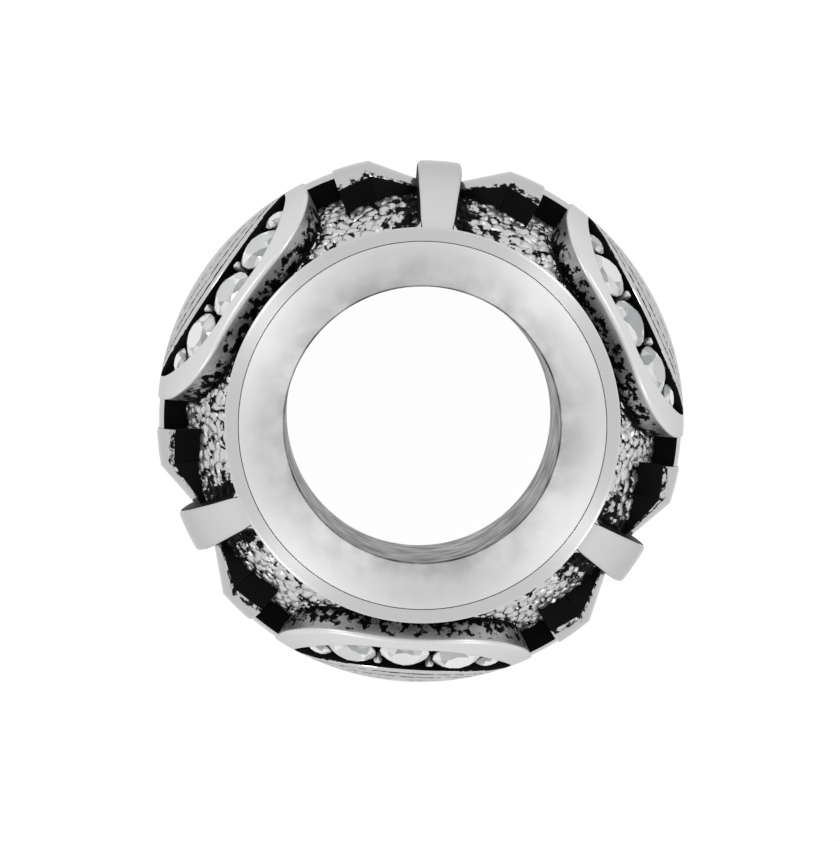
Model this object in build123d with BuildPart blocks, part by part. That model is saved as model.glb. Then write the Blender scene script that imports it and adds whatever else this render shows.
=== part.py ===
"""European charm bead: a cast barrel with ribs and crystal-set medallions, on a flared bore sleeve.

Sizes are in millimetres and angles in degrees. +Z is the bore's axis, the origin is the middle of the
bore, and the first rib points along +Y.
"""

import os
from math import asin, atan, cos, radians, sin, sqrt, tan

from build123d import *

# Bore and its sleeve
bore_radius = 2.5  # slides over the threaded end of a bracelet
bead_length = 6.0  # from end face to end face
sleeve_wall = 0.30
funnel_width = 0.82  # from the bore to the seam on the end face
funnel_depth = 0.40
lip_edge = 0.10  # thickness of the flared lip at the seam
lip_root = 0.05  # how far below the funnel the flare starts on the outside
mouth_round = 0.05  # softened corner where the funnel meets the bore
sleeve_gap = 0.03  # seam between the sleeve and the casting

# Barrel and end rims
barrel_wall = 2.38  # from the bore to the barrel's crown
barrel_fall = 1.34  # how far the barrel's side falls from its crown to the end faces
relief_depth = 0.53  # textured floor below the barrel's side
rim_width = 0.255  # flat of the end face outside the seam
rim_thickness = 0.42
rim_bevel = 0.05
neck_wall = 0.20  # least metal round the sleeve under the end rim

# Ribs, which follow the barrel from rim to rim
rib_count = 3
rib_width = 0.82
rib_end_width = 0.57
rib_end_height = 2.50  # from the bead's middle to where the narrow end starts to widen
rib_shoulder_height = 1.75  # and to where it has its full width
rib_bend_round = 1.5
rib_below_crown = 0.08
rib_start = 0.10  # from the end face to where the rib leaves the rim
rib_edge_round = 0.08

# Belt pieces on both sides of each rib
belt_end_angle = 24.0  # from the middle of the rib
belt_ridge_angle = 15.7  # where the top starts to slope down to the rib
belt_low_below_crown = 0.43  # how far the slope has fallen at the rib's side
belt_end_half_width = 1.60
belt_rib_half_width = 1.05
join_start_angle = 19.0  # the narrow strip that joins the belt's end to the medallion, inside the belt
join_end_angle = 33.0  # and inside the medallion
join_half_width = 0.80
join_below_crown = 0.04

# Medallions, whose outline is a square with bulging sides and well rounded corners
corner_share = 0.93  # of the half-width, where the bulging sides would meet
medallion_corner_share = 0.62  # radius of the corners' rounding, of the half-width
channel_corner_share = 0.80
medallion_half_angle = 29.7
medallion_end_margin = 0.435  # from the medallion's end to the end face
medallion_edge_round = 0.05
band_side_angle = 5.05  # flat rim of the medallion, at its sides
band_end_width = 0.21  # flat rim of the medallion, at its ends
channel_width = 0.80
channel_depth = 0.33
lens_overlap_angle = 0.65  # how far the lens's points run into the rim

# Engraved lines on the lens
engraving_width = 0.05
engraving_depth = 0.04
engraving_tip_height = 0.05  # the lines stop this far from the middle of the lens's points
engraved_lines = [
    # share of the lens's half-length, share of its half-span
    (0.90, 0.93),
    (0.74, 0.88),
    (0.53, 0.80),
]

# Stones and the small grains between them
stone_depth = 0.16  # girdle below the barrel's side
stone_gap = 0.03  # between a stone and its seat
stone_rows = [
    # name, share of the channel's half-angle, diameter as a share of the channel's half-span,
    # lean as a share of the channel's middle line
    ("left_tip", -0.82, 0.24, 0.93),
    ("left", -0.53, 0.44, 1.03),
    ("middle", 0.0, 0.43, 1.04),
    ("right", 0.53, 0.44, 1.03),
    ("right_tip", 0.82, 0.24, 0.93),
]
grain_radius = 0.085
grain_below_side = 0.06
grain_share = 0.25  # of the channel's half-angle, between the middle stone and the next
grain_lean = 0.82  # of the channel's middle line, so that the grain stands by the lens

# Brilliant cut, as shares of the girdle's diameter
crown_height = 0.15
girdle_height = 0.03
pavilion_depth = 0.43
crown_angle = 34.5
star_angle = 22.0
upper_girdle_angle = 40.0
pavilion_angle = 41.0
lower_girdle_angle = 42.5
main_facets = 8

half_length = bead_length / 2
crown_radius = bore_radius + barrel_wall
seam_radius = bore_radius + funnel_width
rim_radius = seam_radius + rim_width
sleeve_radius = bore_radius + sleeve_wall
seat_radius = sleeve_radius + sleeve_gap
neck_radius = seat_radius + neck_wall
side_radius = (half_length**2 + barrel_fall**2) / (2 * barrel_fall)
side_centre = crown_radius - side_radius
rib_crown_radius = crown_radius - rib_below_crown
rib_rise = rib_crown_radius - rim_radius
rib_side_radius = ((half_length - rib_start) ** 2 + rib_rise**2) / (2 * rib_rise)
rib_side_centre = rib_crown_radius - rib_side_radius

medallion_half_length = half_length - medallion_end_margin
channel_half_length = medallion_half_length - band_end_width
lens_half_length = channel_half_length - channel_width
channel_half_angle = medallion_half_angle - band_side_angle
lens_half_angle = channel_half_angle + lens_overlap_angle
channel_half_span = crown_radius * radians(channel_half_angle)

cut_plane = crown_radius + relief_depth  # clear of everything, for cutters
rib_angle = 90.0
setting_angle = rib_angle - 180 / rib_count
os.makedirs("parts", exist_ok=True)


def slope_of(length):
    """Slope of the line that meets the barrel's side squarely at this height."""
    return tan(asin(length / side_radius))


def barrel(depth, reach, radius=side_radius, centre=side_centre):
    """A solid of revolution whose side is the barrel's side, or another arc, set in by a depth."""
    with BuildPart() as form:
        with BuildSketch(Plane.XZ):
            with Locations((centre, 0)):
                Circle(radius - depth)
            Rectangle(crown_radius, 2 * reach, align=(Align.MIN, Align.CENTER), mode=Mode.INTERSECT)
        revolve(axis=Axis.Z)
    return form.part


def sector(start_angle, end_angle, half_width):
    """A wedge between two angles from +X, from the neck to beyond the barrel's side."""
    start_slope = tan(radians(start_angle))
    end_slope = tan(radians(end_angle))
    with BuildPart() as wedge:
        with BuildSketch(Plane.XY.offset(-half_width)):
            with BuildLine():
                Polyline(
                    (neck_radius, neck_radius * start_slope),
                    (cut_plane, cut_plane * start_slope),
                    (cut_plane, cut_plane * end_slope),
                    (neck_radius, neck_radius * end_slope),
                    close=True,
                )
            make_face()
        extrude(amount=2 * half_width)
    return wedge.part


def cushion_outline(round_share):
    """The face inside four bulging arcs with rounded corners, one unit wide and high from its middle."""
    with BuildSketch() as outline:
        with BuildLine():
            for turn in (0, 90, 180, 270):
                side = [Vector(corner_share, -corner_share), Vector(1, 0), Vector(corner_share, corner_share)]
                ThreePointArc(*(point.rotate(Axis.Z, turn) for point in side))
        make_face()
        fillet(outline.vertices(), round_share)
    return outline.sketch


def cushion_height(share):
    """Share of the channels' outer height at a share of their half-span, short of the bulging sides."""
    arc = (corner_share**2 + (1 - corner_share) ** 2) / (2 * (1 - corner_share))
    corner = (sqrt(2 * (arc - channel_corner_share) ** 2 - (arc - 1) ** 2) - (arc - 1)) / 2
    if share < corner * arc / (arc - channel_corner_share):
        return 1 - arc + sqrt(arc**2 - share**2)
    return corner + sqrt(channel_corner_share**2 - (share - corner) ** 2)


def cushion_column(half_angle, length, round_share):
    """A cushion-shaped column on +X whose walls stand square on the barrel's side."""
    outline = cushion_outline(round_share)
    with BuildPart() as column:
        for distance in (neck_radius, cut_plane):
            spread = (distance * tan(radians(half_angle)), (distance - side_centre) * slope_of(length), 1)
            with BuildSketch(Plane.YZ.offset(distance)):
                add(scale(outline, by=spread, mode=Mode.PRIVATE))
        loft(ruled=True)
    return column.part


def lens_outline(half_span, height):
    """The face between two arcs that meet in points."""
    with BuildSketch() as outline:
        with BuildLine():
            ThreePointArc((-half_span, 0), (0, height), (half_span, 0))
            ThreePointArc((half_span, 0), (0, -height), (-half_span, 0))
        make_face()
    return outline.sketch


def lens_column(half_angle, length):
    """A pointed column on +X whose walls stand square on the barrel's side."""
    with BuildPart() as column:
        for distance in (neck_radius, cut_plane):
            half_span = distance * tan(radians(half_angle))
            with BuildSketch(Plane.YZ.offset(distance)):
                add(lens_outline(half_span, (distance - side_centre) * slope_of(length)))
        loft(ruled=True)
    return column.part


def mid_channel_slope(angle):
    """Slope of the line halfway between the lens's edge and the channel's outer edge."""
    across = abs(tan(angle)) / tan(radians(channel_half_angle))
    outer = slope_of(channel_half_length) * cushion_height(across)
    plane = crown_radius * cos(angle)
    half_span = plane * tan(radians(lens_half_angle))
    height = (plane - side_centre) * slope_of(lens_half_length)
    arc_radius = (half_span**2 + height**2) / (2 * height)
    inner = height - arc_radius + sqrt(arc_radius**2 - (plane * tan(angle)) ** 2)
    return (outer + inner / (plane - side_centre)) / 2


def channel_place(share, depth, end_sign, lean_share):
    """A plane in a channel of the +X medallion, square on the barrel's side and a depth below it."""
    angle = radians(share * channel_half_angle)
    slope = lean_share * mid_channel_slope(angle)
    radius = side_radius - depth
    lean = atan(slope * cos(angle))
    pitch = end_sign * (lean - asin(side_centre * (1 - cos(angle)) * slope * cos(lean) / radius))
    out = side_centre + radius * cos(pitch)
    return Plane(
        origin=(out * cos(angle), out * sin(angle), radius * sin(pitch)),
        x_dir=(-sin(angle), cos(angle), 0),
        z_dir=(cos(pitch) * cos(angle), cos(pitch) * sin(angle), sin(pitch)),
    )


def facet_plane(turn, angle, distance, height, up):
    """A cutting plane through a point at this turn, leaning by the facet's angle."""
    turn = radians(turn)
    lean = radians(angle)
    return Plane(
        origin=(distance * cos(turn), distance * sin(turn), height),
        z_dir=(sin(lean) * cos(turn), sin(lean) * sin(turn), up * cos(lean)),
    )


def seat(diameter):
    """The hollow for a stone: the stone's outline on the lathe, larger by the stone gap."""
    radius = diameter / 2 + stone_gap
    rise = girdle_height * diameter / 2 + stone_gap
    top = rise + crown_height * diameter
    table_radius = radius - crown_height * diameter / tan(radians(crown_angle))
    with BuildPart() as hollow:
        with BuildSketch(Plane.XZ):
            with BuildLine():
                Polyline(
                    (0, -rise - radius * tan(radians(lower_girdle_angle))),
                    (radius, -rise),
                    (radius, rise),
                    (table_radius, top),
                    (0, top),
                    close=True,
                )
            make_face()
        revolve(axis=Axis.Z)
    return hollow.part


def lathe(upper_profile):
    """A solid turned from a profile given for the upper half, from the middle outwards and back."""
    lower_profile = [(radius, -height) for radius, height in reversed(upper_profile)]
    with BuildPart() as turned:
        with BuildSketch(Plane.XZ):
            with BuildLine():
                Polyline(*upper_profile, *lower_profile, close=True)
            make_face()
        revolve(axis=Axis.Z)
    return turned.part


# A round brilliant one unit across with its girdle at height 0: 33 facets above it and 24 below
table_height = girdle_height / 2 + crown_height
point_depth = girdle_height / 2 + pavilion_depth
table_radius = 0.5 - crown_height / tan(radians(crown_angle))
facet_step = 360 / main_facets
girdle_flat = 0.5 * cos(radians(facet_step / 4))
star_distance = table_radius * cos(radians(facet_step / 2))
with BuildPart() as brilliant:
    with BuildSketch(Plane.XY.offset(-point_depth)):
        RegularPolygon(0.5, 2 * main_facets)
    extrude(amount=table_height + point_depth)
    for k in range(main_facets):
        cuts = [
            facet_plane(k * facet_step, crown_angle, 0.5, girdle_height / 2, 1),
            facet_plane(k * facet_step, pavilion_angle, 0.5, -girdle_height / 2, -1),
            facet_plane((k + 0.5) * facet_step, star_angle, star_distance, table_height, 1),
        ]
        for side_turn in ((k + 0.25) * facet_step, (k + 0.75) * facet_step):
            cuts.append(facet_plane(side_turn, upper_girdle_angle, girdle_flat, girdle_height / 2, 1))
            cuts.append(facet_plane(side_turn, lower_girdle_angle, girdle_flat, -girdle_height / 2, -1))
        for cut in cuts:
            split(bisect_by=cut, keep=Keep.BOTTOM)

envelope = barrel(0, half_length)

# The rib on the +X side
with BuildPart() as rib:
    with BuildSketch(Plane.YZ.offset(neck_radius)) as rib_plan:
        with BuildLine():
            Polyline(
                (rib_end_width / 2, half_length),
                (rib_end_width / 2, rib_end_height),
                (rib_width / 2, rib_shoulder_height),
                (rib_width / 2, -rib_shoulder_height),
                (rib_end_width / 2, -rib_end_height),
                (rib_end_width / 2, -half_length),
                (-rib_end_width / 2, -half_length),
                (-rib_end_width / 2, -rib_end_height),
                (-rib_width / 2, -rib_shoulder_height),
                (-rib_width / 2, rib_shoulder_height),
                (-rib_end_width / 2, rib_end_height),
                (-rib_end_width / 2, half_length),
                close=True,
            )
        make_face()
        fillet([v for v in rib_plan.vertices() if abs(v.Y) < half_length - rim_bevel], rib_bend_round)
    extrude(amount=cut_plane - neck_radius)
    add(barrel(0, half_length - rim_bevel, rib_side_radius, rib_side_centre), mode=Mode.INTERSECT)
    # The long edges of its outer face; the two short ones end inside the rims
    outer_edges = rib.faces().sort_by(Axis.X)[-1].outer_wire().edges()
    fillet([e for e in outer_edges if abs(e.center().Y) > rib_end_width / 4], rib_edge_round)

# The belt pieces beside the rib: a sector of the barrel under a roof that slopes down to the rib
belt_side_angle = asin(rib_width / 2 / rib_crown_radius)
low_radius = crown_radius - belt_low_below_crown
low_point = Vector(low_radius * cos(belt_side_angle), low_radius * sin(belt_side_angle))
ridge_point = Vector(crown_radius, 0).rotate(Axis.Z, belt_ridge_angle)
slope_line = (ridge_point - low_point).normalized()
slope_out = Vector(slope_line.Y, -slope_line.X)
roof_start = low_point - slope_out * side_radius - slope_line * crown_radius
end_reach = cut_plane * tan(radians(belt_end_angle))
end_across = crown_radius * sin(radians(belt_end_angle))
with BuildPart() as belt_join:
    add(sector(join_start_angle, join_end_angle, join_half_width))
    add(barrel(join_below_crown, half_length), mode=Mode.INTERSECT)
with BuildPart() as belt:
    add(sector(0, belt_end_angle, belt_end_half_width))
    with BuildSketch(Plane.YZ):
        with BuildLine():
            Polyline(
                (0, belt_rib_half_width),
                (low_point.Y, belt_rib_half_width),
                (end_across, belt_end_half_width),
                (end_reach, belt_end_half_width),
                (end_reach, -belt_end_half_width),
                (end_across, -belt_end_half_width),
                (low_point.Y, -belt_rib_half_width),
                (0, -belt_rib_half_width),
                close=True,
            )
        make_face()
    extrude(amount=cut_plane, mode=Mode.INTERSECT)
    add(envelope, mode=Mode.INTERSECT)
    with BuildSketch(Plane(origin=roof_start, z_dir=slope_line)):
        Circle(side_radius)
    extrude(amount=3 * crown_radius, mode=Mode.INTERSECT)
    add(belt_join.part)
    mirror(about=Plane.XZ)

# The two crescent channels of a medallion
with BuildPart() as channels:
    add(cushion_column(channel_half_angle, channel_half_length, channel_corner_share))
    add(lens_column(lens_half_angle, lens_half_length), mode=Mode.SUBTRACT)
    add(barrel(channel_depth, half_length), mode=Mode.SUBTRACT)

# The engraved lines: thin crescents on the lens, only as deep as the engraving
lens_span = crown_radius * sin(radians(lens_half_angle))
with BuildPart() as engraving:
    for length_share, span_share in engraved_lines:
        start = (-lens_span * span_share, engraving_tip_height)
        end = (lens_span * span_share, engraving_tip_height)
        line_height = lens_half_length * length_share
        with BuildSketch(Plane.YZ):
            with BuildLine():
                ThreePointArc(start, (0, line_height + engraving_width / 2), end)
                ThreePointArc(start, (0, line_height - engraving_width / 2), end)
            make_face()
        extrude(amount=cut_plane)
    mirror(about=Plane.XY)
    add(barrel(engraving_depth, half_length), mode=Mode.SUBTRACT)

# One medallion on the +X side
with BuildPart() as medallion:
    add(cushion_column(medallion_half_angle, medallion_half_length, medallion_corner_share))
    add(envelope, mode=Mode.INTERSECT)
    fillet(medallion.faces().sort_by(Axis.X)[-1].outer_wire().edges(), medallion_edge_round)
    add(channels.part, mode=Mode.SUBTRACT)
    add(engraving.part, mode=Mode.SUBTRACT)
    for end_sign in (1, -1):
        for share in (-grain_share, grain_share):
            with BuildSketch(channel_place(share, channel_depth + grain_radius, end_sign, grain_lean)):
                Circle(grain_radius)
            extrude(amount=channel_depth + grain_radius - grain_below_side)

# The seats of one medallion's stones
with BuildPart() as seats:
    for end_sign in (1, -1):
        for _, share, size_share, lean_share in stone_rows:
            with Locations(channel_place(share, stone_depth, end_sign, lean_share)):
                add(seat(size_share * channel_half_span))

# The sleeve, and the same profile larger by the gap for its seat in the casting
flare_start = half_length - funnel_depth - lip_root
sleeve_profile = [
    (bore_radius, half_length - funnel_depth),
    (seam_radius, half_length),
    (seam_radius, half_length - lip_edge),
    (sleeve_radius, flare_start),
]
seat_profile = [
    (0, half_length),
    (seam_radius + sleeve_gap, half_length),
    (seam_radius + sleeve_gap, half_length - lip_edge - sleeve_gap),
    (seat_radius, flare_start - sleeve_gap),
]

# The end rims, with a straight neck between them
rim_profile = [
    (0, half_length),
    (rim_radius - rim_bevel, half_length),
    (rim_radius, half_length - rim_bevel),
    (rim_radius, half_length - rim_thickness),
    (neck_radius, half_length - rim_thickness),
]

with BuildPart() as core_sleeve:
    add(lathe(sleeve_profile))
    mouths = core_sleeve.edges().filter_by(GeomType.CIRCLE)
    fillet([e for e in mouths if abs(e.radius - bore_radius) < mouth_round / 10], mouth_round)
core_sleeve.part.label = "core_sleeve"
export_step(core_sleeve.part, "parts/core_sleeve.step")

# The casting: rims, sunk floor, ribs, belts and medallions, less the stones' seats and the sleeve's
with BuildPart() as cast_body:
    add(lathe(rim_profile))
    add(barrel(relief_depth, half_length - rim_thickness))
    with PolarLocations(0, rib_count, start_angle=rib_angle):
        add(rib.part)
        add(belt.part)
    with PolarLocations(0, rib_count, start_angle=setting_angle):
        add(medallion.part)
        add(seats.part, mode=Mode.SUBTRACT)
    add(lathe(seat_profile), mode=Mode.SUBTRACT)
cast_body.part.label = "cast_body"
export_step(cast_body.part, "parts/cast_body.step")

# The crystals, each in its seat
for setting in range(rib_count):
    turn = Location((0, 0, 0), (0, 0, setting_angle + setting * 360 / rib_count))
    for end_name, end_sign in (("top", 1), ("bottom", -1)):
        for stone_name, share, size_share, lean_share in stone_rows:
            place = channel_place(share, stone_depth, end_sign, lean_share)
            with BuildPart() as crystal:
                with Locations(turn * place.location):
                    add(scale(brilliant.part, by=size_share * channel_half_span, mode=Mode.PRIVATE))
            crystal.part.label = f"crystal_{'abcdefgh'[setting]}_{end_name}_{stone_name}"
            export_step(crystal.part, f"parts/{crystal.part.label}.step")
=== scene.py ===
"""Looks of a european charm bead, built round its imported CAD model.

Lengths are in millimetres and angles in degrees until a mesh is made, and +Z is the bore's axis.
Most of the casting is laid out on the barrel: a turn about the bore, a pitch up or down from the
middle of the bead's length, and a depth below the barrel's side.
"""

from math import asin, cos, degrees, pi, radians, sin, tan

import bmesh
import bpy
import numpy as np
from mathutils import Matrix, Vector, noise


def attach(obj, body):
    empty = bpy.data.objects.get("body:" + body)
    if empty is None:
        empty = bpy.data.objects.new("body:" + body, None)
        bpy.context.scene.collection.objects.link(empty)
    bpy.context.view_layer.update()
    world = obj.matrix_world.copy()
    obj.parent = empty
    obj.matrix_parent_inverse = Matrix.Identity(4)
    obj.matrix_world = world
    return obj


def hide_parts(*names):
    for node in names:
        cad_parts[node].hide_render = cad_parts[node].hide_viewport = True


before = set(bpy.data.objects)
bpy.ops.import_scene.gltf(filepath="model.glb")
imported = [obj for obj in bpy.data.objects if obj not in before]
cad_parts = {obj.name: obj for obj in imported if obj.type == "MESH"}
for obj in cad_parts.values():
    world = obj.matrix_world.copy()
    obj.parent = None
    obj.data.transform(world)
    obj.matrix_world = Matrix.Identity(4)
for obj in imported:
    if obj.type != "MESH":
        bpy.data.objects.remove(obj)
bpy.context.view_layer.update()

MM = 0.001

# Bore and sleeve
bore_radius = 2.5
half_length = 3.0
seam_radius = 3.32
sleeve_gap = 0.03
funnel_depth = 0.40
lip_edge = 0.10
sleeve_radius = 2.80
flare_start = 2.55

# Barrel and end rims
crown_radius = 4.88
side_radius = 4.0284
side_centre = crown_radius - side_radius
relief_depth = 0.53
rim_radius = 3.575
rim_thickness = 0.42
rim_bevel = 0.05
neck_radius = 3.03

# Ribs, which follow the barrel from rim to rim
rib_count = 3
rib_crown_radius = 4.796
rib_side_radius = 4.0451
rib_edge_round = 0.08
rib_root_round = 0.07
rib_bottom = 3.10
rib_foot_bottom = 3.42  # where the rib lies on the end rim
rib_heights = [0.0, 0.25, 0.5, 0.75, 1.0, 1.25, 1.5, 1.7, 1.85, 2.0, 2.15, 2.3, 2.45, 2.57, 2.60, 2.7, 2.8]
rib_foot = [  # radius and height where the rib's back bends down onto the end rim's flat
    (3.63, 2.87),
    (3.59, 2.92),
    (3.575, 2.955),
    (3.555, 2.982),
    (3.53, 2.995),
    (3.50, 2.9995),
]
rib_widths = [  # height above the bead's middle, width
    (0.0, 0.82),
    (0.94, 0.81),
    (1.73, 0.76),
    (2.51, 0.66),
    (2.85, 0.58),
    (3.0, 0.57),
]

# Belt pieces beside each rib
belt_end_angle = 24.0
belt_ridge_angle = 15.7
belt_low_radius = 4.45
belt_end_half_width = 1.60
belt_rib_half_width = 1.05
belt_bevel = 0.055
belt_rib_bevel = 0.02
belt_end_fall = 0.03
belt_foot_radius = 3.7
belt_worn_edge = 0.13  # how far in from its edges the top is darkened in patches
belt_edge_black = 0.55
join_start_angle = 20
join_end_angle = 33
join_half_width = 0.80
join_depth = 0.04
join_edge_fall = 0.03

# Medallions, whose outline is a square with bulging sides and well rounded corners
corner_share = 0.93
medallion_corner_share = 0.62
channel_corner_share = 0.80
medallion_half_angle = 29.7
medallion_half_length = 2.565
medallion_edge_round = 0.07
medallion_wall_depth = 0.62
box_margin = 0.002  # keeps the rim inside the faceted CAD model's box
channel_half_angle = 24.65
channel_half_length = 2.355
channel_depth = 0.33
channel_wall_depth = 0.45
bed_half_turn = 25.4
bed_margin_angle = 0.9  # how far the bed reaches under the channel's wall, round the bead
bed_margin_length = 0.07  # and along it
bed_foot_depth = 0.85
bed_roughness = 0.012
lens_half_angle = 25.3
lens_half_length = 1.555
lens_half_turn = 25.0  # a little short of the lens's points, where its height is nothing
lens_depth = 0.006
lens_edge_share = 0.97  # share of the lens's half-height from where its edge falls
lens_edge_fall = 0.03
lens_foot_depth = 0.45
engraving_width = 0.06
engraving_depth = 0.03
engraved_lines = [(0.90, 0.93), (0.74, 0.88), (0.53, 0.80)]  # shares of the lens's height and span

# Stones and grains
stone_depth = 0.16
stone_gap = 0.03
seat_below_girdle = 0.04
stone_rows = [  # share of the channel's half-angle, size as a share of its half-span, lean
    (-0.82, 0.24, 0.93),
    (-0.53, 0.44, 1.03),
    (0.0, 0.43, 1.04),
    (0.53, 0.44, 1.03),
    (0.82, 0.24, 0.93),
]
channel_half_span = crown_radius * radians(channel_half_angle)
pavilion_slope = tan(radians(42.5))
grain_share = 0.25
grain_lean = 0.82
grain_size = 0.12
grain_steps = [(1.0, 0.42), (1.0, 0.16), (0.92, 0.10), (0.72, 0.07), (0.40, 0.06)]  # share of size, depth
border_radius = 0.028
border_outside_angle = 1.5  # how far outside the medallion's wall the line runs, round the bead
border_outside_length = 0.10  # and along it

# Sunk floor
floor_half_turn = 60
floor_half_pitch = 47.5
foot_depth = relief_depth + 0.2  # how deep the floor and the joining strips reach
rib_side = 0.40  # half a rib's width
pebble_size = 0.20
pebble_height = 0.05
pebble_shoulder = 0.45  # how far in from a pebble's edge its side has risen, as a share of its size
crack_width = 0.20  # as a share of a pebble

# Meshes
lathe_steps = 256
outline_side_steps = 22
outline_corner_steps = 38
sharp_angle = 32
flat_hold = 1.3  # where the point beside a round stands, as a share of the round's reach
quarter_round = (0, 22.5, 45, 67.5, 90)

rib_angles = [90 + 120 * k for k in range(rib_count)]
setting_angles = [30 + 120 * k for k in range(rib_count)]


# ---------------------------------------------------------------- places on the barrel


def slope_of(length):
    """Slope of the line that meets the barrel's side squarely at this height."""
    return tan(asin(length / side_radius))


def on_barrel(turn, pitch, depth):
    """Points at a turn and pitch in radians and a depth below the barrel's side."""
    radius = side_radius - np.asarray(depth)
    out = side_centre + radius * np.cos(pitch)
    places = (out * np.cos(turn), out * np.sin(turn), radius * np.sin(pitch))
    return np.stack(np.broadcast_arrays(*places), axis=-1)


def feet_below(turn, pitch, depth):
    """Points at a depth below the barrel's side, under the first and last rows of a grid."""
    return np.stack([on_barrel(turn[:, 0], pitch[..., row], depth) for row in (0, -1)], axis=1)


def cushion_outline(round_share):
    """Points round four bulging arcs with rounded corners, which reach one unit from their middle."""
    arc = (corner_share**2 + (1 - corner_share) ** 2) / (2 * (1 - corner_share))
    corner = (np.sqrt(2 * (arc - round_share) ** 2 - (arc - 1) ** 2) - (arc - 1)) / 2
    side_end = np.arctan2(corner, corner + arc - 1)
    side = np.linspace(-side_end, side_end, outline_side_steps + 1)[:-1]
    bend = np.linspace(side_end, pi / 2 - side_end, outline_corner_steps + 1)[:-1]
    across = np.concatenate((1 - arc + arc * np.cos(side), corner + round_share * np.cos(bend)))
    up = np.concatenate((arc * np.sin(side), corner + round_share * np.sin(bend)))
    quarters = [(across, up), (-up, across), (-across, -up), (up, -across)]
    return tuple(np.concatenate(parts) for parts in zip(*quarters))


medallion_outline = cushion_outline(medallion_corner_share)
channel_outline = cushion_outline(channel_corner_share)


def column_edge(half_angle, length, across, up):
    """Turn and pitch where a column's wall meets the barrel, at shares of its half-span and height."""
    turn = np.arctan(tan(radians(half_angle)) * across)
    slope = slope_of(length) * up
    stretch = 1 / np.cos(turn)
    share = side_centre * (stretch + slope**2)
    square = stretch**2 + slope**2
    rest = side_centre**2 * (1 + slope**2) - side_radius**2
    plane = (share + np.sqrt(share**2 - square * rest)) / square
    return turn, np.arcsin((plane - side_centre) * slope / side_radius)


def cushion_pitch(outline, half_angle, length, turn):
    """Pitch of a cushion-shaped column's upper edge at each turn."""
    across = np.clip(np.tan(turn) / tan(radians(half_angle)), -1, 1)
    upper = outline[1] > 0
    order = np.argsort(outline[0][upper])
    up = np.interp(across, outline[0][upper][order], outline[1][upper][order])
    return column_edge(half_angle, length, across, up)[1]


def lens_pitch(turn):
    """Pitch of the lens's edge at each turn, which settles in a few rounds."""
    pitch = np.zeros_like(turn)
    for _ in range(8):
        plane = (side_centre + side_radius * np.cos(pitch)) * np.cos(turn)
        half_span = plane * tan(radians(lens_half_angle))
        height = (plane - side_centre) * slope_of(lens_half_length)
        arc = (half_span**2 + height**2) / (2 * height)
        fall = np.sqrt(arc**2 - (plane * np.tan(turn)) ** 2)
        pitch = np.arcsin((height - arc + fall) / side_radius)
    return pitch


def channel_middle(share, lean):
    """Turn and pitch of a point on the middle line of the upper channel."""
    turn = np.radians(share * channel_half_angle)
    outer = np.tan(cushion_pitch(channel_outline, channel_half_angle, channel_half_length, turn))
    inner = np.tan(lens_pitch(turn))
    return turn, np.arctan(lean * (outer + inner) / 2)


def turned(points, angle):
    """Points turned about the bore by an angle."""
    c, s = cos(radians(angle)), sin(radians(angle))
    return points @ np.array(((c, s, 0), (-s, c, 0), (0, 0, 1)))


def rounded(corners, steps=5):
    """A closed outline of rounded corners (x, y, radius), with points beside each round to hold the flat."""
    outline = []
    for k, (x, y, radius) in enumerate(corners):
        here = np.array((x, y))
        if not radius:
            outline.append(here)
            continue
        back = np.array(corners[k - 1][:2]) - here
        ahead = np.array(corners[(k + 1) % len(corners)][:2]) - here
        back /= np.linalg.norm(back)
        ahead /= np.linalg.norm(ahead)
        half_turn = np.arccos(np.clip(-back @ ahead, -1, 1)) / 2
        reach = radius * np.tan(half_turn)
        centre = here + (back + ahead) / np.linalg.norm(back + ahead) * np.hypot(radius, reach)
        start, end = here + back * reach - centre, here + ahead * reach - centre
        outline.append(here + back * reach * flat_hold)
        for share in np.linspace(0, 1, steps + 1):
            spoke = (1 - share) * start + share * end
            outline.append(centre + spoke * radius / np.linalg.norm(spoke))
        outline.append(here + ahead * reach * flat_hold)
    return np.array(outline)


# ---------------------------------------------------------------- meshes


def add_piece(name, points, faces, material, slot, node, black=None):
    """Adds a solid piece from points in millimetres, riding on the body in place of its CAD node.

    black is how much black is painted at each of its first points, patina on most pieces and painted shade on
    the floor and the sleeve, where the finish reads it, and the rest, which are the feet, have none.
    """
    mesh = bpy.data.meshes.new(name)
    mesh.from_pydata((np.asarray(points) * MM).tolist(), [], faces)
    form = bmesh.new()
    form.from_mesh(mesh)
    bmesh.ops.recalc_face_normals(form, faces=form.faces)
    form.to_mesh(mesh)
    form.free()
    mesh.shade_smooth()
    mesh.set_sharp_from_angle(angle=radians(sharp_angle))
    if black is not None:
        left = np.zeros(len(points))
        left[: black.size] = black.ravel()
        mesh.attributes.new("black", "FLOAT", "POINT").data.foreach_set("value", left)
    mesh.materials.append(material)
    piece = bpy.data.objects.new(name, mesh)
    bpy.context.scene.collection.objects.link(piece)
    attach(piece, "root")
    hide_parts(node)


def ease(value, start, end):
    """0 before the start, 1 past the end, and a smooth step between them, either way round."""
    share = np.clip((np.asarray(value) - start) / (end - start), 0, 1)
    return share * share * (3 - 2 * share)


def noise_at(points, size):
    """Smooth noise between about -1 and 1 at each point, with lumps of about this size."""
    flat = np.asarray(points).reshape(-1, 3) / size
    return np.array([noise.noise(Vector(p)) for p in flat]).reshape(np.asarray(points).shape[:-1])


def revolved(section):
    """A closed section of (radius, height) turned once about the bore."""
    turn = np.linspace(0, 2 * pi, lathe_steps + 1)[:-1]
    radius, height = section[:, :1], section[:, 1:]
    return np.stack(np.broadcast_arrays(radius * np.cos(turn), radius * np.sin(turn), height), axis=-1)


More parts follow.
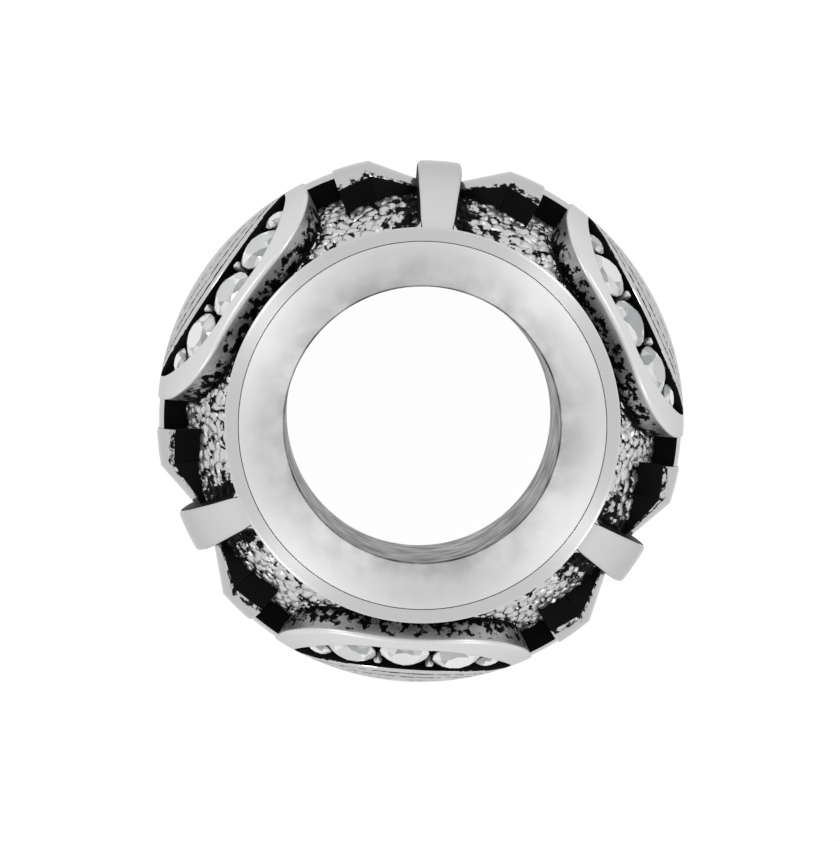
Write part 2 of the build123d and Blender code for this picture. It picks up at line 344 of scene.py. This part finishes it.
def closed_rings(rings):
    """Points and faces of a solid like a bent tube: each ring joins the next, and the last the first."""
    rows, around = rings.shape[:2]
    faces = []
    for i in range(rows):
        j = (i + 1) % rows
        for k in range(around):
            m = (k + 1) % around
            faces.append((i * around + k, i * around + m, j * around + m, j * around + k))
    return rings.reshape(-1, 3), faces


def capped_rings(rings):
    """Points and faces of a solid whose rings join in a row, with a face over each end."""
    rows, around = rings.shape[:2]
    points, faces = closed_rings(rings)
    faces = faces[: (rows - 1) * around]
    faces.append(tuple(range(around)))
    faces.append(tuple((rows - 1) * around + k for k in range(around)))
    return points, faces


def block(top, feet):
    """Points and faces of a solid under a grid of points, with feet under its first and last rows."""
    columns, rows = top.shape[:2]
    points = np.concatenate((top.reshape(-1, 3), feet.reshape(-1, 3)))
    foot = columns * rows
    faces = []
    for i in range(columns - 1):
        for j in range(rows - 1):
            a = i * rows + j
            faces.append((a, a + rows, a + rows + 1, a + 1))
        first, last = i * rows, i * rows + rows - 1
        low, high = foot + 2 * i, foot + 2 * i + 1
        faces.append((first, first + rows, low + 2, low))
        faces.append((last, last + rows, high + 2, high))
        faces.append((low, low + 2, high + 2, high))
    for i in (0, columns - 1):
        faces.append((*range(i * rows, (i + 1) * rows), foot + 2 * i + 1, foot + 2 * i))
    return points, faces


# ---------------------------------------------------------------- materials


def to_linear(code):
    """An sRGB hex colour as a linear one."""
    shares = [int(code[k : k + 2], 16) / 255 for k in (1, 3, 5)]
    return (*(s / 12.92 if s <= 0.04045 else ((s + 0.055) / 1.055) ** 2.4 for s in shares), 1.0)


def add_node(material, kind, inputs=(), **settings):
    """Adds a node, sets its settings, and fills its inputs with values or with other nodes' outputs."""
    made = material.node_tree.nodes.new(kind)
    for key, value in settings.items():
        setattr(made, key, value)
    for key, value in dict(inputs).items():
        if isinstance(value, bpy.types.NodeSocket):
            material.node_tree.links.new(value, made.inputs[key])
        else:
            made.inputs[key].default_value = value
    return made


def new_material(name):
    """An empty node material."""
    material = bpy.data.materials.new(name)
    material.use_nodes = True
    material.node_tree.nodes.clear()
    return material


def finish_material(material, shader, bump=None):
    """Joins a shader to the material's output."""
    if bump:
        material.node_tree.links.new(bump.outputs["Normal"], shader.inputs["Normal"])
    add_node(material, "ShaderNodeOutputMaterial", {"Surface": shader.outputs[0]})
    return material


def blackened_and_shaded_casting(name, bare, wall_black, black_from, black_to, mottle, mottle_size, bright_rough):
    """Cast and plated metal, blackened with liver of sulphur and tumbled so that only the high faces shine.

    wall_black is how black the upright walls stay, and black_from and black_to are the depths below the
    barrel's side between which the black takes over, and in the channels that black is partly painted shade.
    A mesh can add more with its "black" attribute, which on the pebbled floor carries painted shade as well
    as patina.
    mottle is how strongly patches of mottle_size break the black up, and bright_rough is the bare metal's
    roughness.
    """
    skin_grain = 0.06
    m = new_material(name)
    place = add_node(m, "ShaderNodeNewGeometry")
    split = add_node(m, "ShaderNodeSeparateXYZ", {0: place.outputs["Position"]})
    flat = add_node(
        m, "ShaderNodeVectorMath", {0: place.outputs["Position"], 1: (1, 1, 0)}, operation="MULTIPLY"
    )
    out = add_node(m, "ShaderNodeVectorMath", {0: flat.outputs[0]}, operation="LENGTH")
    from_centre = add_node(
        m, "ShaderNodeMath", {0: out.outputs["Value"], 1: side_centre * MM}, operation="SUBTRACT"
    )
    radial = add_node(m, "ShaderNodeVectorMath", {0: flat.outputs[0]}, operation="NORMALIZE")
    radial_part = add_node(
        m,
        "ShaderNodeVectorMath",
        {0: radial.outputs[0], "Scale": from_centre.outputs[0]},
        operation="SCALE",
    )
    height_part = add_node(m, "ShaderNodeCombineXYZ", {"Z": split.outputs["Z"]})
    spoke = add_node(
        m, "ShaderNodeVectorMath", {0: radial_part.outputs[0], 1: height_part.outputs[0]}, operation="ADD"
    )
    reach = add_node(m, "ShaderNodeVectorMath", {0: spoke.outputs[0]}, operation="LENGTH")
    depth = add_node(
        m,
        "ShaderNodeMapRange",
        {
            "Value": reach.outputs["Value"],
            "From Min": side_radius * MM - black_from * MM,
            "From Max": side_radius * MM - black_to * MM,
        },
    )
    # Faces that look out of the barrel were reached by the polishing, and upright walls weren't
    outward = add_node(m, "ShaderNodeVectorMath", {0: spoke.outputs[0]}, operation="NORMALIZE")
    facing = add_node(
        m,
        "ShaderNodeVectorMath",
        {0: outward.outputs[0], 1: place.outputs["True Normal"]},
        operation="DOT_PRODUCT",
    )
    wall = add_node(
        m,
        "ShaderNodeMapRange",
        {"Value": facing.outputs["Value"], "From Min": 0.62, "From Max": 0.30, "To Max": wall_black},
        interpolation_type="SMOOTHSTEP",
    )
    painted = add_node(m, "ShaderNodeAttribute", attribute_name="black")
    deeper = add_node(m, "ShaderNodeMath", {0: wall.outputs[0], 1: depth.outputs[0]}, operation="MAXIMUM")
    dark = add_node(
        m, "ShaderNodeMath", {0: deeper.outputs[0], 1: painted.outputs["Fac"]}, operation="MAXIMUM"
    )
    # Worn and missed patches break the edge of the black up, and give the painted shade a ragged edge
    patches = add_node(
        m,
        "ShaderNodeTexNoise",
        {
            "Vector": place.outputs["Position"],
            "Scale": 1 / (mottle_size * MM),
            "Detail": 4.0,
            "Roughness": 0.6,
        },
    )
    patch_amount = add_node(
        m,
        "ShaderNodeMapRange",
        {
            "Value": patches.outputs["Fac"],
            "From Min": 0.35,
            "From Max": 0.65,
            "To Min": -mottle,
            "To Max": mottle,
        },
    )
    gate = add_node(m, "ShaderNodeMapRange", {"Value": dark.outputs[0], "From Min": 0.02, "From Max": 0.25})
    patchy = add_node(
        m,
        "ShaderNodeMath",
        {0: patch_amount.outputs[0], 1: gate.outputs[0], 2: dark.outputs[0]},
        operation="MULTIPLY_ADD",
        use_clamp=True,
    )
    edge = add_node(
        m,
        "ShaderNodeMapRange",
        {"Value": patchy.outputs[0], "From Min": 0.32, "From Max": 0.66},
        interpolation_type="SMOOTHSTEP",
    )
    colour = add_node(
        m,
        "ShaderNodeMix",
        {"Factor": edge.outputs[0], 6: to_linear(bare), 7: to_linear("#060606")},
        data_type="RGBA",
    )
    metallic = add_node(m, "ShaderNodeMapRange", {"Value": edge.outputs[0], "To Min": 1.0, "To Max": 0.5})
    rough = add_node(
        m, "ShaderNodeMapRange", {"Value": edge.outputs[0], "To Min": bright_rough, "To Max": 0.6}
    )
    grain = add_node(
        m,
        "ShaderNodeTexNoise",
        {"Vector": place.outputs["Position"], "Scale": 1 / (skin_grain * MM), "Detail": 3.0},
    )
    bump = add_node(
        m,
        "ShaderNodeBump",
        {"Height": grain.outputs["Fac"], "Strength": 0.10, "Distance": 0.01 * MM},
    )
    shader = add_node(
        m,
        "ShaderNodeBsdfPrincipled",
        {
            "Base Color": colour.outputs[2],
            "Metallic": metallic.outputs[0],
            "Roughness": rough.outputs[0],
            "Specular IOR Level": 0.2,
            "Specular Tint": to_linear("#D8D8D8"),
        },
    )
    return finish_material(m, shader, bump)


# Rhodium-like plate, tumbled bright: a cool even grey with soft reflections, and black walls
polished_casting = blackened_and_shaded_casting(
    "tumbled_plated_casting",
    "#CACACA",
    wall_black=1.35,
    black_from=0.36,
    black_to=0.56,
    mottle=0.50,
    mottle_size=0.12,
    bright_rough=0.18,
)
# The medallions' upright walls keep a mottled black that the tumbling half wore away
mottled_casting = blackened_and_shaded_casting(
    "mottled_plated_casting",
    "#D8D8D8",
    wall_black=0.0,
    black_from=0.02,
    black_to=0.66,
    mottle=0.80,
    mottle_size=0.17,
    bright_rough=0.42,
)
# The sunk floor: bright pebble tops with black left in the cracks between them, and shade painted near the
# walls
pebbled_casting = blackened_and_shaded_casting(
    "pebbled_plated_casting",
    "#CCCCCC",
    wall_black=0.0,
    black_from=0.60,
    black_to=0.70,
    mottle=0.60,
    mottle_size=0.20,
    bright_rough=0.38,
)
# The channels that hold the stones are black: patina, and painted shade deep in them
black_channel = blackened_and_shaded_casting(
    "channel_patina_and_painted_shade",
    "#B0B0B0",
    wall_black=1.4,
    black_from=0.06,
    black_to=0.14,
    mottle=0.10,
    mottle_size=0.10,
    bright_rough=0.30,
)


def turned_metal(name, bare, rough, rings_strength):
    """Plated metal turned on a lathe.

    The finer its rings, the more they pull reflections out along the radius. A mesh can paint dark reflection
    and shade on it with its "black" attribute, which is broken up in streaks.
    """
    streak_width = 0.5
    m = new_material(name)
    place = add_node(m, "ShaderNodeNewGeometry")
    painted = add_node(m, "ShaderNodeAttribute", attribute_name="black")
    streaks = add_node(
        m,
        "ShaderNodeTexNoise",
        {"Vector": place.outputs["Position"], "Scale": 1 / (streak_width * MM), "Detail": 3.0},
    )
    worn = add_node(
        m,
        "ShaderNodeMapRange",
        {
            "Value": streaks.outputs["Fac"],
            "From Min": 0.35,
            "From Max": 0.65,
            "To Min": 0.35,
            "To Max": 1.0,
        },
    )
    # Painted dark reflection and shade from the "black" attribute, broken up by the streaks
    line = add_node(
        m, "ShaderNodeMath", {0: painted.outputs["Fac"], 1: worn.outputs[0]}, operation="MULTIPLY"
    )
    colour = add_node(
        m,
        "ShaderNodeMix",
        {"Factor": line.outputs[0], 6: to_linear(bare), 7: to_linear("#1C1C1C")},
        data_type="RGBA",
    )
    rings = add_node(m, "ShaderNodeTangent", direction_type="RADIAL", axis="Z")
    shader = add_node(
        m,
        "ShaderNodeBsdfPrincipled",
        {
            "Base Color": colour.outputs[2],
            "Metallic": 1.0,
            "Roughness": rough,
            "Anisotropic": rings_strength,
            "Anisotropic Rotation": 0.25,
            "Tangent": rings.outputs[0],
        },
    )
    return finish_material(m, shader)


# The end rims' fine rings pull reflections out along the radius, and the sleeve is soft and even
turned_rim = turned_metal("turned_plated_rim", "#D4D4D4", 0.36, 0.9)
turned_sleeve = turned_metal("turned_bright_sleeve", "#D0D0D0", 0.50, 0.0)


def foiled_crystal():
    """Cut crystal with foil behind it: pale and bright, with smooth facets painted with reflections that
    glint white or grey.
    """
    m = new_material("foil_backed_cut_crystal")
    # Painted reflections: each flat facet has one direction, so it gets one painted brightness
    place = add_node(m, "ShaderNodeNewGeometry")
    painted_facet_glint = add_node(
        m, "ShaderNodeTexNoise", {"Vector": place.outputs["True Normal"], "Scale": 3.0, "Detail": 0.0}
    )
    bright = add_node(
        m, "ShaderNodeMapRange", {"Value": painted_facet_glint.outputs["Fac"], "From Min": 0.36, "From Max": 0.60}
    )
    colour = add_node(
        m,
        "ShaderNodeMix",
        {"Factor": bright.outputs[0], 6: to_linear("#A4A8AA"), 7: to_linear("#FFFFFF")},
        data_type="RGBA",
    )
    shader = add_node(
        m,
        "ShaderNodeBsdfPrincipled",
        {
            "Base Color": colour.outputs[2],
            "Roughness": 0.03,
            "IOR": 1.75,
            "Transmission Weight": 0.35,
        },
    )
    return finish_material(m, shader)


crystal = foiled_crystal()

casting = ("cast_silver", "cast_body")  # a material slot's name, and the CAD node that each piece of the casting stands in for

# ---------------------------------------------------------------- sleeve

profile = [
    (bore_radius, half_length - funnel_depth, 0.05),
    (seam_radius, half_length, 0.012),
    (seam_radius, half_length - lip_edge, 0.02),
    (sleeve_radius, flare_start, 0.10),
]
profile += [(radius, -height, rounding) for radius, height, rounding in reversed(profile)]
section = rounded(profile)
# A painted dark reflection lies along the edge where each funnel turns into the bore, and as the bore's wall
# has no other points, painted shade darkens it from end to end
painted_mouth_shade = ease(np.abs(section[:, 0] - bore_radius), 0.05, 0.02)
painted_mouth_shade *= ease(np.abs(section[:, 1]), half_length - funnel_depth - 0.08, half_length - funnel_depth - 0.04)
rings = revolved(section)
add_piece(
    "bore_sleeve",
    *closed_rings(rings),
    turned_sleeve,
    "sleeve_silver",
    "core_sleeve",
    black=0.9 * painted_mouth_shade[:, None] * np.ones(rings.shape[1]),
)

# ---------------------------------------------------------------- ribs and end rims

rim_foot = half_length - rim_thickness
rim_hole = seam_radius + 0.010
rim_section = rounded(
    [
        (neck_radius, rim_foot, 0),
        (rim_radius, rim_foot, 0.02),
        (rim_radius, half_length, rim_bevel),
        (rim_hole, half_length, 0.008),
        (rim_hole, half_length - lip_edge - sleeve_gap, 0),
    ]
)
for end_name, end in (("top", 1), ("bottom", -1)):
    rings = revolved(rim_section * (1, end))
    add_piece(f"end_rim_{end_name}", *closed_rings(rings), turned_rim, *casting)


def rib_rings():
    """The rib on +X in level sections, which bends off the rim's flat and follows the barrel to the crown."""
    centre = rib_crown_radius - rib_side_radius
    places = [(centre + np.sqrt(rib_side_radius**2 - z**2), z) for z in rib_heights] + rib_foot
    places = [(radius, -z) for radius, z in reversed(places[1:])] + places
    rings = []
    for radius, z in places:
        half = np.interp(abs(z), *zip(*rib_widths)) / 2
        root = rib_bottom if abs(z) < rim_foot else rib_foot_bottom
        edge = min(rib_edge_round, (radius - root) / 2)
        side = []
        for share in (0, 0.2, 0.35, 0.5, 0.65, 0.8, 0.9, 0.96):
            x = root + share * (radius - edge - root)
            climb = rib_root_round - np.clip(x - rim_radius, 0, rib_root_round)
            side.append((x, half + rib_root_round - np.sqrt(rib_root_round**2 - climb**2)))
        for a in np.radians(quarter_round):
            side.append((radius - edge + edge * sin(a), half - edge + edge * cos(a)))
        side += [(radius, y) for y in ((half - edge) * 0.85, half * 0.4)]
        side = [(x - y**2 / (2 * radius), y) for x, y in side]
        loop = [(x, -y) for x, y in side] + [(radius, 0)] + list(reversed(side))
        rings.append([(x, y, z) for x, y in loop])
    return np.array(rings)


for letter, angle in zip("abc", rib_angles):
    rings = capped_rings(turned(rib_rings(), angle))
    add_piece(f"rib_{letter}", *rings, polished_casting, *casting)

# ---------------------------------------------------------------- belt pieces


def belt_grid(side):
    """The belt piece beside a rib on +X: a slope up to a ridge, then on along the barrel's crown."""
    start_angle = asin(rib_widths[0][1] / 2 / rib_crown_radius)
    low = belt_low_radius * np.array((cos(start_angle), sin(start_angle)))
    ridge = crown_radius * np.array((cos(radians(belt_ridge_angle)), sin(radians(belt_ridge_angle))))
    along = (ridge - low) / np.linalg.norm(ridge - low)
    out = np.array((along[1], -along[0]))
    end_across = crown_radius * sin(radians(belt_end_angle))

    def widening(point):
        return np.clip((point[1] - low[1]) / (end_across - low[1]), -0.2, 1)

    def half_width_at(point):
        return belt_rib_half_width + widening(point) * (belt_end_half_width - belt_rib_half_width)

    path = []
    for share in np.linspace(-0.12, 1, 9):
        path.append((low + (ridge - low) * share, out, 0.0))
    bevel_angle = degrees(belt_end_fall / crown_radius)
    for angle in np.linspace(belt_ridge_angle + 0.4, belt_end_angle - bevel_angle, 6):
        spoke = np.array((cos(radians(angle)), sin(radians(angle))))
        path.append((crown_radius * spoke, spoke, 0.0))
    spoke = np.array((cos(radians(belt_end_angle)), sin(radians(belt_end_angle))))
    path.append((crown_radius * spoke, spoke, belt_end_fall))
    top, feet = [], []
    for point, normal, lowered in path:
        half_width = half_width_at(point)
        bevel_share = np.clip((widening(point) - 0.35) / 0.3, 0, 1)
        bevel = belt_rib_bevel + (belt_bevel - belt_rib_bevel) * bevel_share
        worn = half_width - bevel - belt_worn_edge
        flat = (-half_width + bevel, *np.linspace(-worn, worn, 11), half_width - bevel)
        falls = [(-half_width, max(lowered, bevel)), *((height, lowered) for height in flat)]
        falls.append((half_width, max(lowered, bevel)))
        column = []
        for height, fall in falls:
            drop = side_radius - np.sqrt(side_radius**2 - height**2) + fall
            column.append((*(point - normal * drop), height))
        top.append(column)
        foot_point = point * belt_foot_radius / np.linalg.norm(point)
        foot_half = half_width_at(foot_point)
        feet.append([(*foot_point, -foot_half), (*foot_point, foot_half)])
    mirror = np.array((1, side, 1))
    # The black of the side walls ends unevenly on the top's edges
    black = np.zeros(np.shape(top)[:2])
    black[:, (0, 1, -2, -1)] = belt_edge_black
    return np.array(top) * mirror, np.array(feet) * mirror, black


def join_grid(side):
    """The narrow strip along the crown that joins a belt piece to the medallion."""
    turn = np.radians(np.linspace(join_start_angle, join_end_angle, 14))[:, None] * side
    across = np.array((-1, -0.985, -0.96, -0.5, 0, 0.5, 0.96, 0.985, 1))
    pitch = across * asin(join_half_width / (side_radius - join_depth))
    depth = join_depth + join_edge_fall * ease(np.abs(across), 0.96, 1.0)
    return on_barrel(turn, pitch, depth), feet_below(turn, pitch, foot_depth)


for letter, angle in zip("abc", rib_angles):
    for side_name, side in (("left", 1), ("right", -1)):
        place = f"{letter}_{side_name}"
        top, feet, black = belt_grid(side)
        belt = block(turned(top, angle), turned(feet, angle))
        add_piece(f"belt_{place}", *belt, polished_casting, *casting, black=black)
        join = block(*(turned(grid, angle) for grid in join_grid(side)))
        add_piece(f"belt_join_{place}", *join, polished_casting, *casting)

# ---------------------------------------------------------------- medallions


def medallion_ring():
    """The medallion's wall and flat rim, down into its channels."""
    rings = []

    def outer(amount, depth):
        angle = medallion_half_angle - degrees(amount / crown_radius)
        return *column_edge(angle, medallion_half_length - amount, *medallion_outline), depth

    def inner(amount, depth):
        angle = channel_half_angle + degrees(amount / crown_radius)
        return *column_edge(angle, channel_half_length + amount, *channel_outline), depth

    soft = medallion_edge_round
    places = [outer(0, medallion_wall_depth), outer(0, 0.35), outer(0, soft * flat_hold)]
    for a in np.radians(quarter_round):
        places.append(outer(soft * (1 - cos(a)), soft * (1 - sin(a))))
    first, last = outer(soft * flat_hold, 0), inner(0.025, 0)
    places.append(first)
    for share in (0.25, 0.5, 0.75):
        turn, pitch = ((1 - share) * first[k] + share * last[k] for k in (0, 1))
        places.append((turn, pitch, 0))
    places += [last, inner(0.012, 0), inner(0.003, 0.005), inner(0, 0.016), inner(0, 0.03)]
    places.append(inner(0, channel_wall_depth))
    for turn, pitch, depth in places:
        rings.append(on_barrel(turn, pitch, depth + box_margin))
    return np.array(rings)


def lens_grid():
    """The pointed lens between the channels, engraved with fine crescents along each side."""
    turn = np.radians(np.linspace(-lens_half_turn, lens_half_turn, 221))[:, None]
    edge = lens_pitch(turn)
    flat = np.linspace(-lens_edge_share, lens_edge_share, 155)
    across = np.concatenate(([-1.0, -0.995, -0.985], flat, [0.985, 0.995, 1.0]))
    pitch = edge * across
    over_edge = np.clip((np.abs(across) - lens_edge_share) / (1 - lens_edge_share), 0, 1)
    depth = lens_depth + lens_edge_fall * over_edge**2 * np.ones_like(pitch)
    black = np.zeros_like(pitch)
    spot = on_barrel(turn, pitch, 0.0)
    span = crown_radius * sin(radians(lens_half_angle))
    for height_share, span_share in engraved_lines:
        line_height = lens_half_length * height_share
        reach = span * span_share
        arc = (reach**2 + line_height**2) / (2 * line_height)
        y, z = spot[..., 1], np.abs(spot[..., 2])
        away = np.abs(np.hypot(y, z - (line_height - arc)) - arc)
        groove = np.clip(1 - away / (engraving_width / 2), 0, 1) * (np.abs(y) < reach - 0.05)
        depth = depth + engraving_depth * groove
        black = np.maximum(black, 2.2 * groove)
    return on_barrel(turn, pitch, depth), feet_below(turn, pitch, lens_foot_depth), black


def channel_bed():
    """The floor of the two channels, drilled with a cone for each stone."""
    turn = np.radians(np.linspace(-bed_half_turn, bed_half_turn, 121))[:, None]
    bed_angle, bed_length = channel_half_angle + bed_margin_angle, channel_half_length + bed_margin_length
    pitch = cushion_pitch(channel_outline, bed_angle, bed_length, turn) * np.linspace(-1, 1, 117)
    depth = np.full_like(pitch, channel_depth)
    for share, size_share, lean in stone_rows:
        stone_turn, stone_pitch = channel_middle(np.array(share), lean)
        size = size_share * channel_half_span
        out = side_centre + side_radius * np.cos(stone_pitch)
        seat = size / 2 + stone_gap
        for end in (1, -1):
            around = (turn - stone_turn) * (out - stone_depth)
            along = (pitch - end * stone_pitch) * (side_radius - stone_depth)
            away = np.hypot(around, along)
            cone = stone_depth + seat_below_girdle + (seat - away) * pavilion_slope
            depth = np.where(away < seat, np.maximum(depth, cone), depth)
    for i in range(depth.shape[0]):
        for j in range(depth.shape[1]):
            depth[i, j] += bed_roughness * noise.noise(Vector((turn[i, 0] * 60, pitch[i, j] * 60, 1.0)))
    return on_barrel(turn, pitch, depth), feet_below(turn, pitch, bed_foot_depth)


def grain_rings(share, end):
    """A small three-sided grain raised against the lens's wall, between two stones."""
    turn, pitch = channel_middle(np.array(share), grain_lean)
    centre_turn, centre_pitch = float(turn), float(pitch) * end
    out = side_centre + side_radius * cos(centre_pitch)
    corners = []
    for k in range(3):
        angle = radians(90 * end + 120 * k)
        corners.append((grain_size * cos(angle), grain_size * sin(angle), grain_size * 0.25))
    outline = rounded(corners, 3)
    rings = []
    for shrink, depth in grain_steps:
        turn = centre_turn + outline[:, 0] * shrink / out
        pitch = centre_pitch + outline[:, 1] * shrink / side_radius
        rings.append(on_barrel(turn, pitch, depth))
    return np.array(rings)


def border_line():
    """A fine raised line on the floor, following the medallion's wall."""
    turn, pitch = column_edge(
        medallion_half_angle + border_outside_angle,
        medallion_half_length + border_outside_length,
        *medallion_outline,
    )
    middle = on_barrel(turn, pitch, relief_depth - 0.01)
    outward = on_barrel(turn, pitch, relief_depth - 1.01) - middle
    along = np.roll(middle, -1, axis=0) - np.roll(middle, 1, axis=0)
    across = np.cross(along, outward)
    across /= np.linalg.norm(across, axis=1)[:, None]
    rings = []
    for a in np.linspace(0, 2 * pi, 9)[:-1]:
        rings.append(middle + border_radius * (cos(a) * across + sin(a) * outward))
    return np.array(rings)


ring, lens, bed, line = medallion_ring(), lens_grid(), channel_bed(), border_line()
for letter, angle in zip("abc", setting_angles):
    add_piece(f"medallion_rim_{letter}", *closed_rings(turned(ring, angle)), mottled_casting, *casting)
    face = block(turned(lens[0], angle), turned(lens[1], angle))
    add_piece(f"medallion_lens_{letter}", *face, polished_casting, *casting, black=lens[2])
    add_piece(f"channel_bed_{letter}", *block(*(turned(g, angle) for g in bed)), black_channel, *casting)
    add_piece(f"border_line_{letter}", *closed_rings(turned(line, angle)), mottled_casting, *casting)
    for end_name, end in (("top", 1), ("bottom", -1)):
        for side_name, share in (("left", -grain_share), ("right", grain_share)):
            grain = capped_rings(turned(grain_rings(share, end), angle))
            add_piece(f"grain_{letter}_{end_name}_{side_name}", *grain, mottled_casting, *casting)

# ---------------------------------------------------------------- pebbled floor


def floor_grid(angle):
    """A third of the sunk floor with a rib in its middle, raised in small rounded pebbles."""
    turn = np.radians(np.linspace(-floor_half_turn, floor_half_turn, 241))[:, None]
    pitch = np.radians(np.linspace(-floor_half_pitch, floor_half_pitch, 151))
    base = turned(on_barrel(turn, pitch, relief_depth), angle)
    bent = base + 0.035 * np.stack([noise_at(base + shift, 0.14) for shift in (0, 5, 9)], axis=-1)
    away = np.array([noise.voronoi(Vector(p / pebble_size))[0][:2] for p in bent.reshape(-1, 3)])
    gap = (away[:, 1] - away[:, 0]).reshape(base.shape[:2])
    rise = np.sin(np.clip(gap / pebble_shoulder, 0, 1) * pi / 2)
    # The outermost points stay flat, so that the three floors meet
    rise *= np.abs(turn) < radians(floor_half_turn - 0.1)
    rise *= np.abs(pitch) < radians(floor_half_pitch - 0.2)
    # Black patina stays in the cracks, and shade is painted beside the ribs and round the medallions
    out = np.hypot(base[..., 0], base[..., 1])
    ragged = 0.10 * noise_at(base, 0.3)
    from_rib = np.abs(turn) * out - rib_side + ragged
    wall_turn = radians(floor_half_turn) - np.abs(turn)
    beside = np.maximum(wall_turn - radians(medallion_half_angle), 0) * out
    wall_pitch = cushion_pitch(medallion_outline, medallion_half_angle, medallion_half_length, wall_turn)
    above = (np.abs(pitch) - wall_pitch) * side_radius
    from_wall = np.where(beside > 0, np.hypot(beside, np.maximum(above, 0)), above)
    cracks = ease(gap + 0.20 * noise_at(base, 0.22), crack_width, 0.0)
    cracks *= 0.75 + 0.45 * noise_at(base, 0.5)
    rib_painted_shade = 0.62 * ease(from_rib, 0.75, 0.25) + 0.45 * ease(from_rib, 0.22, 0.10)
    wall_painted_shade = 1.3 * ease(from_wall + ragged, 0.36, 0.10)
    black = np.maximum.reduce((cracks, rib_painted_shade, wall_painted_shade))
    top = on_barrel(turn, pitch, relief_depth - pebble_height * rise)
    feet = feet_below(turn, pitch, foot_depth)
    return turned(top, angle), turned(feet, angle), black


for letter, angle in zip("abc", rib_angles):
    top, feet, black = floor_grid(angle)
    add_piece(f"pebbled_floor_{letter}", *block(top, feet), pebbled_casting, *casting, black=black)

# ---------------------------------------------------------------- crystals

for name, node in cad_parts.items():
    if name.startswith("crystal"):
        node.data.materials.clear()
        node.data.materials.append(crystal)

# ---------------------------------------------------------------- floor, light and camera

white_paper = new_material("white_paper")
paper = add_node(
    white_paper,
    "ShaderNodeBsdfPrincipled",
    {
        "Base Color": to_linear("#3A3A3A"),
        "Roughness": 0.9,
        "Emission Color": to_linear("#FFFFFF"),
        "Emission Strength": 0.97,
    },
)
finish_material(white_paper, paper)
half_floor = 0.6  # in metres
floor_mesh = bpy.data.meshes.new("floor")
square = ((-1, -1), (1, -1), (1, 1), (-1, 1))
corners = [(x * half_floor, y * half_floor, -half_length * MM) for x, y in square]
floor_mesh.from_pydata(corners, [], [(0, 1, 2, 3)])
floor_mesh.materials.append(white_paper)
floor = bpy.data.objects.new("floor", floor_mesh)
bpy.context.scene.collection.objects.link(floor)

# A light tent: even all round, and a little darker straight above, where the camera looks in
world = bpy.data.worlds.new("light_tent")
world.use_nodes = True
sky = add_node(world, "ShaderNodeTexCoord")
sky_split = add_node(world, "ShaderNodeSeparateXYZ", {0: sky.outputs["Generated"]})
sky_light = add_node(
    world,
    "ShaderNodeMapRange",
    {"Value": sky_split.outputs["Z"], "From Min": 0.55, "From Max": 1.0, "To Min": 0.93, "To Max": 0.84},
)
background = world.node_tree.nodes["Background"]
background.inputs["Color"].default_value = (1, 1, 1, 1)
world.node_tree.links.new(sky_light.outputs[0], background.inputs["Strength"])
bpy.context.scene.world = world

image_turn = 4.3  # from +X to the photo's right
image_up = Vector((cos(radians(90 + image_turn)), sin(radians(90 + image_turn)), 0))
image_right = Vector((cos(radians(image_turn)), sin(radians(image_turn)), 0))


def add_lamp(name, azimuth, elevation, distance, size, power):
    """A square soft box that faces the bead, at a distance and with a size in metres.

    Azimuth is counter-clockwise from the image's right.
    """
    across = image_right * cos(radians(azimuth)) + image_up * sin(radians(azimuth))
    spot = (across * cos(radians(elevation)) + Vector((0, 0, 1)) * sin(radians(elevation))) * distance
    lamp = bpy.data.lights.new(name, "AREA")
    lamp.shape = "SQUARE"
    lamp.size = size
    lamp.energy = power
    box = bpy.data.objects.new(name, lamp)
    box.location = spot
    box.rotation_euler = (-spot).to_track_quat("-Z", "Y").to_euler()
    bpy.context.scene.collection.objects.link(box)


for number, azimuth in enumerate((46, 145, 227, 326)):
    add_lamp(f"soft_box_{number}", azimuth, elevation=42, distance=0.35, size=0.06, power=0.135)

camera_distance = 109 * MM
lift, aside = radians(2.3), radians(0.8)
camera = bpy.data.objects.new("camera", bpy.data.cameras.new("camera"))
camera.data.sensor_width = 36
camera.data.sensor_fit = "HORIZONTAL"
camera.data.lens = 252
camera.data.clip_start = 0.01
camera.data.clip_end = 5
aim = (image_up * -0.028 + image_right * -0.006) * MM
spot = (Vector((0, 0, 1)) + image_up * tan(lift) - image_right * tan(aside)).normalized() * camera_distance
back = (spot - aim).normalized()
right = image_up.cross(back).normalized()
up = back.cross(right)
camera.matrix_world = Matrix((right, up, back)).transposed().to_4x4()
camera.location = spot
bpy.context.scene.collection.objects.link(camera)
bpy.context.scene.camera = camera
bpy.context.scene.view_settings.view_transform = "Standard"
